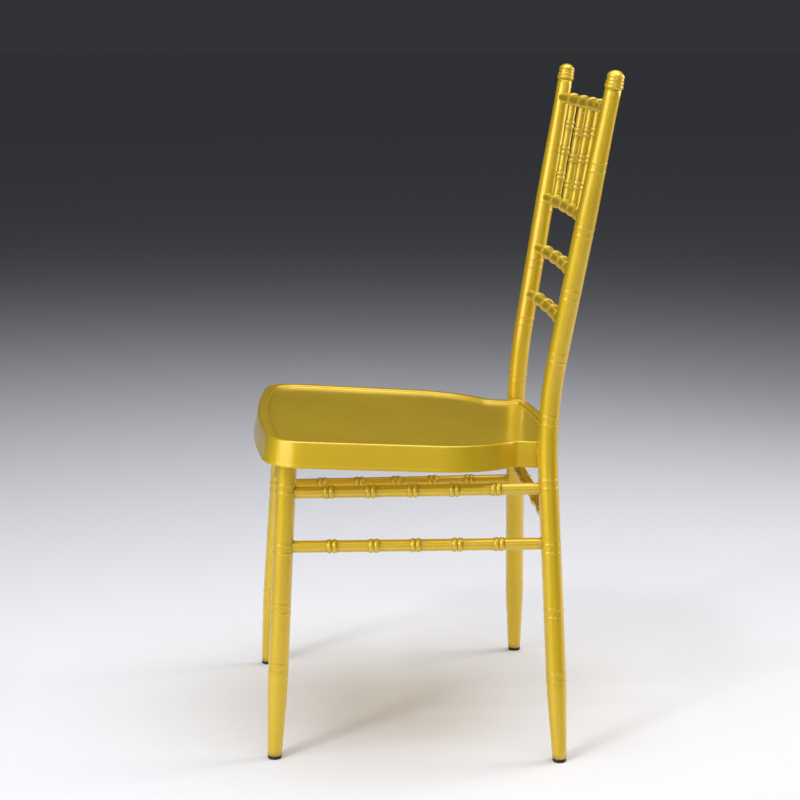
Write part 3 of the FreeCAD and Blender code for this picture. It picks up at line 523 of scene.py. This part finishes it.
rail_ends = {node: waist + upper_run * ((height - waist[2]) / upper_run[2])
             for node, height in rail_heights.items()}
for node, end in rail_ends.items():
    axis, length = bowed_axis(end)
    up_tube = upright_length - (post_top[2] - end[2]) / upper_run[2]
    post_radius = float(upright_radius(np.array(up_tube)))
    starts = leg_meeting(axis, stretcher_radius, 0, meeting_search, end * flip, upper_run * flip,
                         post_radius)
    ends = leg_meeting(axis, stretcher_radius, length, length - meeting_search, end, upper_run,
                       post_radius)
    centres = bead_centres(length, length / (rail_bead_pairs + 1), rail_bead_pairs, bead_spacing)
    loops = beaded_tube(node, axis, starts, ends, centres, stretcher_radius, stretcher_wall,
                        rail_bead_proud, bead_half)
    weld_loops.extend((loop, back_rise - back_normal) for loop in loops)

# Back spindles. Five thin beaded tubes standing between the two upper rails, their ends cut to the rails.
# They were set by hand, so their beads don't quite line up.
spindle_radius = 6.3 * mm
spindle_wall = 1.0 * mm
spindle_bead_proud = 1.0 * mm
spindle_bead_half = 2.8 * mm
spindle_bead_spacing = 6.4 * mm
spindle_bead_pairs = 3
spindle_search = 20 * mm
spindle_slips = np.array([-1, 5.5, 2, -2, 1]) * mm


def on_rail(end, share):
    """Point and heading on a rail's arc at a share of its half width, from -1 at the right end to 1."""
    radius, centre = rail_circle(end)
    turned = math.asin(share * end[0] / radius)
    outward = math.sin(turned) * across_chair + math.cos(turned) * back_normal
    return centre + radius * outward, math.cos(turned) * across_chair - math.sin(turned) * back_normal


for order, slip in enumerate(spindle_slips, 1):
    share = 2 * order / (len(spindle_slips) + 1) - 1
    start, start_heading = on_rail(rail_ends["spindle_rail"], share)
    end, end_heading = on_rail(rail_ends["top_rail"], share)
    length = np.linalg.norm(end - start)
    axis = straight_axis(start, unit(end - start))
    starts = leg_meeting(axis, spindle_radius, 0, spindle_search, start, start_heading, stretcher_radius)
    ends = leg_meeting(axis, spindle_radius, length, length - spindle_search, end, end_heading,
                       stretcher_radius)
    spread = bead_centres(length, length / (spindle_bead_pairs + 1), spindle_bead_pairs,
                          spindle_bead_spacing)
    beaded_tube(f"spindle_{order}", axis, starts, ends, spread - slip, spindle_radius, spindle_wall,
                spindle_bead_proud, spindle_bead_half)

# Seat pan. One steel sheet stamped with a shallow recess, a raised rim, a rounded edge and a skirt that
# flares to a turned-out lip. It narrows at the back to pass between the uprights, where it is welded.
skirt_depth = 34.2 * mm
skirt_flare = 4.95 * mm
lip_depth = 4 * mm
lip_flare = 0.3 * mm
lip_round = 6 * mm
edge_round = 3 * mm
rim_width = 12 * mm
rim_round = 2 * mm
recess_slope = 2.5 * mm
recess_round = 4 * mm
weld_gap = 0.3 * mm
arc_steps = 18
hem_steps = 7
floor_steps = 14
spine_share = 0.6
# The inner foot of the recess gets a crease value, painted shade in the corner.
recess_crease = 0.35
recess_crease_width = 2 * mm
straight_shares = np.array([0.02, 0.25, 0.5, 0.75, 0.98])


def right_of(direction):
    """The direction a quarter turn clockwise."""
    return np.stack([direction[..., 1], -direction[..., 0]], -1)


def rounded_corners(before, corner, after, radius):
    """Arcs that replace corners: each starts a radius times the tangent of half its turn before the corner,
    and its points move by the radius times the change of the normal as it swings from one side to the
    next. Gives points and normals, one row for each corner."""
    heading = (corner - before) / np.linalg.norm(corner - before, axis=1)[:, None]
    leaving = (after - corner) / np.linalg.norm(after - corner, axis=1)[:, None]
    crossed = heading[:, 0] * leaving[:, 1] - heading[:, 1] * leaving[:, 0]
    turn = np.arctan2(crossed, (heading * leaving).sum(1))
    swing = (turn[:, None] * np.linspace(0, 1, arc_steps))[..., None]
    normal = right_of(heading)[:, None]
    swung = np.cos(swing) * normal + np.sin(swing) * heading[:, None]
    first = corner - heading * (radius * np.tan(np.abs(turn) / 2))[:, None]
    return first[:, None] + (np.sign(turn) * radius)[:, None, None] * (swung - normal), swung


def height_on_pan(y, drop):
    """Height of a point on the tilted pan's plane, lowered by drop, at a place from front to back."""
    return seat_height - y * math.tan(seat_tilt) - drop / math.cos(seat_tilt)


def pan_points(flat, height):
    """Points of the pan's own plane set on the chair: turned back by the tilt and raised to the seat."""
    y = flat[..., 1] * math.cos(seat_tilt) + height * math.sin(seat_tilt)
    z = seat_height - flat[..., 1] * math.sin(seat_tilt) + height * math.cos(seat_tilt)
    return np.stack([flat[..., 0], y, z], -1)


upright_reach = tube_radius * math.hypot(lower_run[0], lower_run[2]) / lower_run[2] + weld_gap
room_at_rim = on_run(rear_foot, lower_run, height_on_pan(waist[1], 0))[0] - upright_reach
room_at_lip = on_run(rear_foot, lower_run, height_on_pan(waist[1], skirt_depth))[0] - upright_reach
tail_half = min(room_at_rim, room_at_lip - skirt_flare)
left_corners = np.array([[210 * mm, -219.9 * mm], [199 * mm, 58 * mm],
                         [tail_half, 110 * mm], [tail_half, 165.5 * mm]])
left_radii = np.array([48, 150, 14, 22]) * mm
nose, back = np.array([[[0, -242.35]], [[0, 185]]]) * mm
nose_radius, back_radius = np.array([[1250], [800]]) * mm
pan_corners = np.concatenate([nose, left_corners, back, left_corners[::-1] * flip[:2]])
pan_radii = np.concatenate([nose_radius, left_radii, back_radius, left_radii[::-1]])
arcs, arc_normals = rounded_corners(np.roll(pan_corners, 1, 0), pan_corners, np.roll(pan_corners, -1, 0),
                                    pan_radii)
arc_ends = arcs[:, -1:]
straights = arc_ends + straight_shares[:, None] * (np.roll(arcs[:, :1], -1, 0) - arc_ends)
straight_normals = np.broadcast_to(arc_normals[:, -1:], straights.shape)
outline = np.concatenate([arcs, straights], 1).reshape(-1, 2)
outline_normal = np.concatenate([arc_normals, straight_normals], 1).reshape(-1, 2)

section_corners = np.array([
    [skirt_flare, -skirt_depth],
    [skirt_flare * (1 - lip_depth / skirt_depth) - lip_flare, -skirt_depth + lip_depth],
    [0, 0],
    [-rim_width, 0],
    [-rim_width - recess_slope, -recess_depth],
    [-rim_width - recess_slope - 2 * recess_round, -recess_depth],
])
section_radii = np.array([lip_round, edge_round, rim_round, recess_round])
bends, bend_normals = rounded_corners(section_corners[:-2], section_corners[1:-1], section_corners[2:],
                                      section_radii)
first_normal = right_of(unit(section_corners[1] - section_corners[0]))
last_normal = right_of(unit(section_corners[-1] - section_corners[-2]))
section = np.concatenate([section_corners[:1], bends.reshape(-1, 2), section_corners[-1:]])
section_normal = np.concatenate([[first_normal], bend_normals.reshape(-1, 2), [last_normal]])
under_section = section - pan_wall * section_normal
hem_turn = np.linspace(-np.pi, 0, hem_steps)[1:-1, None]
hem_middle = (section[0] + under_section[0]) / 2
hem_along = unit(section_corners[0] - section_corners[1])
hem = hem_middle + pan_wall / 2 * (np.cos(hem_turn) * first_normal - np.sin(hem_turn) * hem_along)
pan_section = np.concatenate([under_section[::-1], hem, section])
in_recess = (pan_section[:, 0] + rim_width + recess_slope) / recess_crease_width
on_top = pan_section[:, 1] > -recess_depth - pan_wall / 2
pan_crease = recess_crease * np.exp(-in_recess ** 2) * on_top
floor_shares = np.linspace(0, 1, floor_steps)[:-1]
spine_y = spine_share * outline[:, 1] + (1 - spine_share) * outline[:, 1].mean()
spine = np.stack([np.zeros(len(outline)), spine_y], -1)
ribs = outline + pan_section[:, 0, None, None] * outline_normal
rib_heights = np.broadcast_to(pan_section[:, 1, None], ribs.shape[:2])
floor_in = spine + floor_shares[:, None, None] * (ribs[0] - spine)
pan_flat = np.concatenate([floor_in, ribs, floor_in[::-1]])
pan_heights = np.concatenate([np.full(floor_in.shape[:2], -recess_depth - pan_wall), rib_heights,
                              np.full(floor_in.shape[:2], -recess_depth)])
floor_crease = np.zeros(len(floor_in))
pan_creases = np.concatenate([floor_crease, pan_crease, floor_crease])[:, None] * np.ones(len(outline))
fix(new_piece("seat_pan_sheet", pan_points(pan_flat, pan_heights), pan_creases, False), gold_lacquer,
    "gold_paint", "seat_pan")

# Welds. Rippled beads of weld metal: two along each upright where the seat's tail meets it, a short one
# on the rim beside it, and one round the hidden side of each joint. All are sprayed over with the frame.
weld_steps = 48
weld_round = 14
ripple_length = 2.6 * mm
seat_weld_radius = 3.6 * mm
seat_weld_length = 24 * mm
seat_weld_turns = np.radians([-46, 34])
rim_weld_radius = 2.6 * mm
rim_weld_length = 15 * mm
joint_weld_radius = 1.7 * mm
joint_weld_share = 0.45
ripple_share = 0.1
wander_share = 0.12
wander_points = 9
weld_end_reach = 1.2
# Every weld bead carries a small even crease value, a little painted shade at the joints.
weld_crease = 0.12
oblique = unit(np.array([0.31, 0.82, 0.47]))
unevenness = np.random.default_rng(7)


def weld_bead(line, radius):
    """A rippled bead along a line of points: a circle whose radius follows the square root of the distance
    to the nearer end, waves once in each ripple length and wanders a little."""
    heading = np.gradient(line, axis=0)
    heading /= np.linalg.norm(heading, axis=1)[:, None]
    sideways = np.cross(heading, oblique)
    sideways /= np.linalg.norm(sideways, axis=1)[:, None]
    normal = np.cross(sideways, heading)
    run = np.concatenate([[0], np.cumsum(np.linalg.norm(np.diff(line, axis=0), axis=1))])
    end = np.clip(np.minimum(run, run[-1] - run) / (weld_end_reach * radius), 0, 1)
    wander = np.interp(run, np.linspace(0, run[-1], wander_points),
                       unevenness.normal(0, wander_share, wander_points))
    ripple = ripple_share * np.cos(2 * np.pi * run / ripple_length)
    size = radius * np.sqrt(end * (2 - end)) * (1 + ripple + wander)
    angle = np.linspace(0, 2 * np.pi, weld_round, endpoint=False)[:, None]
    return line[:, None] + size[:, None, None] * (np.cos(angle) * normal[:, None]
                                                  + np.sin(angle) * sideways[:, None])


def welded_stretch(loop, unwelded):
    """The stretch of an end's outline opposite a direction: the outline is turned to begin at its point
    furthest that way, and the share about its middle is read off at even steps."""
    first = np.argmax((loop - loop.mean(0)) @ unwelded)
    turned = np.roll(loop, -first, axis=0)
    at = (0.5 + joint_weld_share * np.linspace(-0.5, 0.5, weld_steps)) * len(loop)
    return np.stack([np.interp(at, np.arange(len(loop)), turned[:, axis]) for axis in range(3)], -1)


def weld_piece(name, beads, *nodes):
    """All the beads of one kind as one piece."""
    faces = grid_faces(weld_steps, weld_round, False)
    numbered = np.concatenate([faces + order * weld_steps * weld_round for order in range(len(beads))])
    points = np.concatenate([bead.reshape(-1, 3) for bead in beads])
    piece = mesh_piece(name, points, numbered, np.full(len(points), weld_crease))
    fix(piece, gold_lacquer, "gold_paint", *nodes)


climb = np.linspace(-0.5, 0.5, weld_steps)[:, None]
seat_beads = []
rim_beads = []
for side, sign in sides.items():
    middle = on_run(rear_feet[side], upright_runs[side], height_on_pan(waist[1], skirt_depth / 2))
    for turn in seat_weld_turns:
        offset = np.array([-sign[0] * math.cos(turn), math.sin(turn), 0]) * tube_radius
        seat_beads.append(weld_bead(middle + offset + climb * seat_weld_length * upright_runs[side],
                                    seat_weld_radius))
    rim_place = np.array([tail_half - rim_weld_radius / 2, waist[1]])
    rim_middle = pan_points(rim_place, -rim_weld_radius / 2) * sign
    rim_beads.append(weld_bead(rim_middle + climb * rim_weld_length * np.array([0, 1, 0]), rim_weld_radius))
weld_piece("seat_weld_beads", seat_beads, "seat_welds")
weld_piece("rim_weld_beads", rim_beads)
weld_piece("joint_weld_beads", [weld_bead(welded_stretch(loop, unwelded), joint_weld_radius)
                                for loop, unwelded in weld_loops])

# Post caps. Turned plugs pressed into the open tops of the uprights: three shallow beads that shrink
# upwards, and a low domed head with a thin edge over a narrow neck. They were sprayed with the frame.
cap_height = 22.98 * mm
cap_dome_rise = 7 * mm
cap_plug_length = 18 * mm
cap_plug_radius = 9.35 * mm
cap_base_radius = 11.3 * mm
cap_neck_radius = 10.8 * mm
cap_head_radius = 11.6 * mm
cap_under_head = 14 * mm
cap_edge_round = 0.5 * mm
cap_bead_places = np.array([2.5, 7, 11.5]) * mm
cap_bead_prouds = np.array([1.2, 0.9, 0.4]) * mm
cap_bead_half = 2.4 * mm
# The cap's bead feet and the underside of its head get crease values, painted shade in the grooves.
cap_crease_share = 0.4
cap_edge_crease = 0.3
cap_rows_up = 80
cap_dome_rows = 20
cap_shoulder = cap_height - cap_dome_rise
cap_up = np.linspace(0, cap_under_head, cap_rows_up)
cap_bead_heights, cap_bead_crease = beaded(cap_up, cap_bead_places, cap_bead_prouds, cap_bead_half)
dome_radius = (cap_head_radius ** 2 + cap_dome_rise ** 2) / (2 * cap_dome_rise)
dome_turn = np.linspace(math.asin((cap_head_radius - cap_edge_round) / dome_radius), 0, cap_dome_rows)
flare = cap_head_radius - cap_neck_radius
cap_core = np.linspace(cap_base_radius, cap_neck_radius, len(cap_up))
cap_radius = np.concatenate([[0, cap_plug_radius, cap_plug_radius], cap_core + cap_bead_heights,
                             [cap_head_radius - cap_edge_round / 2, cap_head_radius, cap_head_radius],
                             dome_radius * np.sin(dome_turn)])
cap_rise = np.concatenate([[-cap_plug_length, -cap_plug_length, 0], cap_up,
                           [cap_under_head + flare - cap_edge_round / 2, cap_under_head + flare,
                            cap_shoulder],
                           cap_height - dome_radius * (1 - np.cos(dome_turn))])
cap_crease = np.concatenate([np.zeros(3), cap_crease_share * cap_bead_crease, [cap_edge_crease, 0, 0],
                             np.zeros(len(dome_turn))])
cap_lines = np.ones((1, tube_lines))
cap_rows = round_rows(upright_axis, (upright_length + cap_rise)[:, None] * cap_lines,
                      cap_radius[:, None] * cap_lines)
cap_creases = cap_crease[:, None] * cap_lines
fix(new_piece("left_post_cap_turned", cap_rows, cap_creases, False), gold_lacquer, "gold_paint",
    "left_post_cap")
fix(new_piece("right_post_cap_turned", mirrored(cap_rows), cap_creases, False), gold_lacquer, "gold_paint",
    "right_post_cap")

# Floor glides. Moulded black polythene plugs pushed up into the four feet after the frame was sprayed, each
# with a level pad that is as wide as the foot and rounded at the floor.
glide_edge = 1.5 * mm
glide_edge_rows = 7
glide_base_share = 0.6
glide_plug_radius = 7.85 * mm
glide_plug_length = 24 * mm
glide_grain_size = 0.8 * mm
glide_black = "#17171A"
glide_scuffed = "#3A3A3C"
# Black polythene: a soft moulded plastic with a dull, finely grained skin that greys where it rubs.
black_polythene = bpy.data.materials.new("moulded_black_polythene")
black_polythene.use_nodes = True
glide_place = add(black_polythene, "ShaderNodeTexCoord", {}).outputs["Object"]
glide_grain = add(black_polythene, "ShaderNodeTexNoise",
                  {"Vector": glide_place, "Scale": 1 / glide_grain_size, "Detail": 3.0})
rubbed_share = add(black_polythene, "ShaderNodeMapRange",
                   {"Value": glide_grain.outputs["Fac"], "From Min": 0.5, "From Max": 0.75, "To Max": 0.5})
rubbed = add(black_polythene, "ShaderNodeMix",
             {MIX_SHARE: rubbed_share.outputs["Result"], MIX_FIRST: linear(glide_black),
              MIX_SECOND: linear(glide_scuffed)}, data_type="RGBA")
glide_bump = add(black_polythene, "ShaderNodeBump",
                 {"Height": glide_grain.outputs["Fac"], "Strength": 0.3, "Distance": 0.1 * mm})
glide_shader = black_polythene.node_tree.nodes["Principled BSDF"]
glide_shader.inputs["Roughness"].default_value = 0.5
glide_links = black_polythene.node_tree.links
glide_links.new(rubbed.outputs[MIX_RESULT], glide_shader.inputs["Base Color"])
glide_links.new(glide_bump.outputs["Normal"], glide_shader.inputs["Normal"])


def glide_rows(foot, heading):
    """Level circles round a leaning leg: each row has a radius and a height, and its centre is where the
    leg's axis reaches that height."""
    turn = np.linspace(-np.pi / 2, 0, glide_edge_rows)
    radius = np.concatenate([[0, glide_base_share * foot_radius],
                             foot_radius - glide_edge + glide_edge * np.cos(turn),
                             [foot_radius, foot_radius, glide_plug_radius, glide_plug_radius, 0]])
    height = np.concatenate([[0, 0], glide_edge + glide_edge * np.sin(turn),
                             [glide_height / 2, glide_height, glide_height,
                              glide_height + glide_plug_length, glide_height + glide_plug_length]])
    angle = np.linspace(0, 2 * np.pi, tube_lines, endpoint=False)
    circle = np.stack([np.cos(angle), np.sin(angle), np.zeros(tube_lines)], -1)
    centre = foot + heading * (height / heading[2])[:, None]
    return centre[:, None] + radius[:, None, None] * circle


for end, feet, runs in (("front", front_feet, leg_runs), ("rear", rear_feet, upright_runs)):
    for side in sides:
        rows = glide_rows(feet[side], runs[side])
        fix(new_piece(f"{end}_{side}_glide_plug", rows, np.zeros(rows.shape[:2]), False), black_polythene,
            "glide_plastic", f"{end}_{side}_glide")

# Floor, light and camera. A plain pale floor in a dim room. A large soft lamp hangs overhead, a small key
# lamp at the front left draws the shadows with a broad soft one below it, and weaker soft lamps stand
# behind the chair and beside the camera.
floor_pale = "#F1F2F7"
floor_size = 60.0
room_grey = "#8C8E94"
room_strength = 0.12
floor_mesh = bpy.data.meshes.new("studio_floor")
floor_mesh.from_pydata([(-floor_size, -floor_size, 0), (floor_size, -floor_size, 0),
                        (floor_size, floor_size, 0), (-floor_size, floor_size, 0)], [], [(0, 1, 2, 3)])
floor = bpy.data.objects.new("studio_floor", floor_mesh)
bpy.context.scene.collection.objects.link(floor)
floor_paint = bpy.data.materials.new("pale_studio_floor")
floor_paint.use_nodes = True
floor_shader = floor_paint.node_tree.nodes["Principled BSDF"]
floor_shader.inputs["Base Color"].default_value = linear(floor_pale)
floor_shader.inputs["Roughness"].default_value = 0.7
floor_mesh.materials.append(floor_paint)

chair_middle = np.array([0, 0, 0.45])


def soft_lamp(name, azimuth, elevation, distance, width, height, power, spread, colour):
    """A rectangular lamp that faces the chair's middle and spreads its light over an angle. Azimuth is from
    +X towards +Y, in degrees."""
    lamp = bpy.data.lights.new(name, "AREA")
    lamp.shape = "RECTANGLE"
    lamp.size = width
    lamp.size_y = height
    lamp.energy = power
    lamp.spread = math.radians(spread)
    lamp.color = linear(colour)[:3]
    stand = bpy.data.objects.new(name, lamp)
    turn, lift = math.radians(azimuth), math.radians(elevation)
    out = np.array([math.cos(turn) * math.cos(lift), math.sin(turn) * math.cos(lift), math.sin(lift)])
    stand.location = chair_middle + out * distance
    stand.rotation_euler = (math.pi / 2 - lift, 0, turn + math.pi / 2)
    bpy.context.scene.collection.objects.link(stand)


soft_lamp("key_lamp", -47, 42, 3.2, 0.4, 0.4, 18, 180, "#FDFEFF")
soft_lamp("overhead_softbox", 90, 84, 2.7, 3.0, 3.0, 40, 120, "#F8FAFF")
soft_lamp("left_softbox", -52, 20, 2.8, 2.4, 1.8, 26, 140, "#FFFFFA")
soft_lamp("right_softbox", 100, 18, 2.6, 1.2, 1.8, 16, 120, "#FFF3E6")
soft_lamp("front_softbox", 10, 20, 3.6, 2.0, 1.6, 7, 120, "#FFFFFF")

studio = bpy.data.worlds.new("dim_studio_room")
bpy.context.scene.world = studio
studio.use_nodes = True
surround = studio.node_tree.nodes["Background"]
surround.inputs["Color"].default_value = linear(room_grey)
surround.inputs["Strength"].default_value = room_strength

lens = bpy.data.cameras.new("photo_camera")
lens.sensor_width = 36
lens.lens = 86.45
lens.clip_end = 200
camera = bpy.data.objects.new("photo_camera", lens)
camera.location = (2.6601, -0.2251, 0.975)
camera.rotation_euler = (math.radians(78.9), 0, math.radians(85.91))
bpy.context.scene.collection.objects.link(camera)
bpy.context.scene.camera = camera
bpy.context.scene.view_settings.view_transform = "Standard"
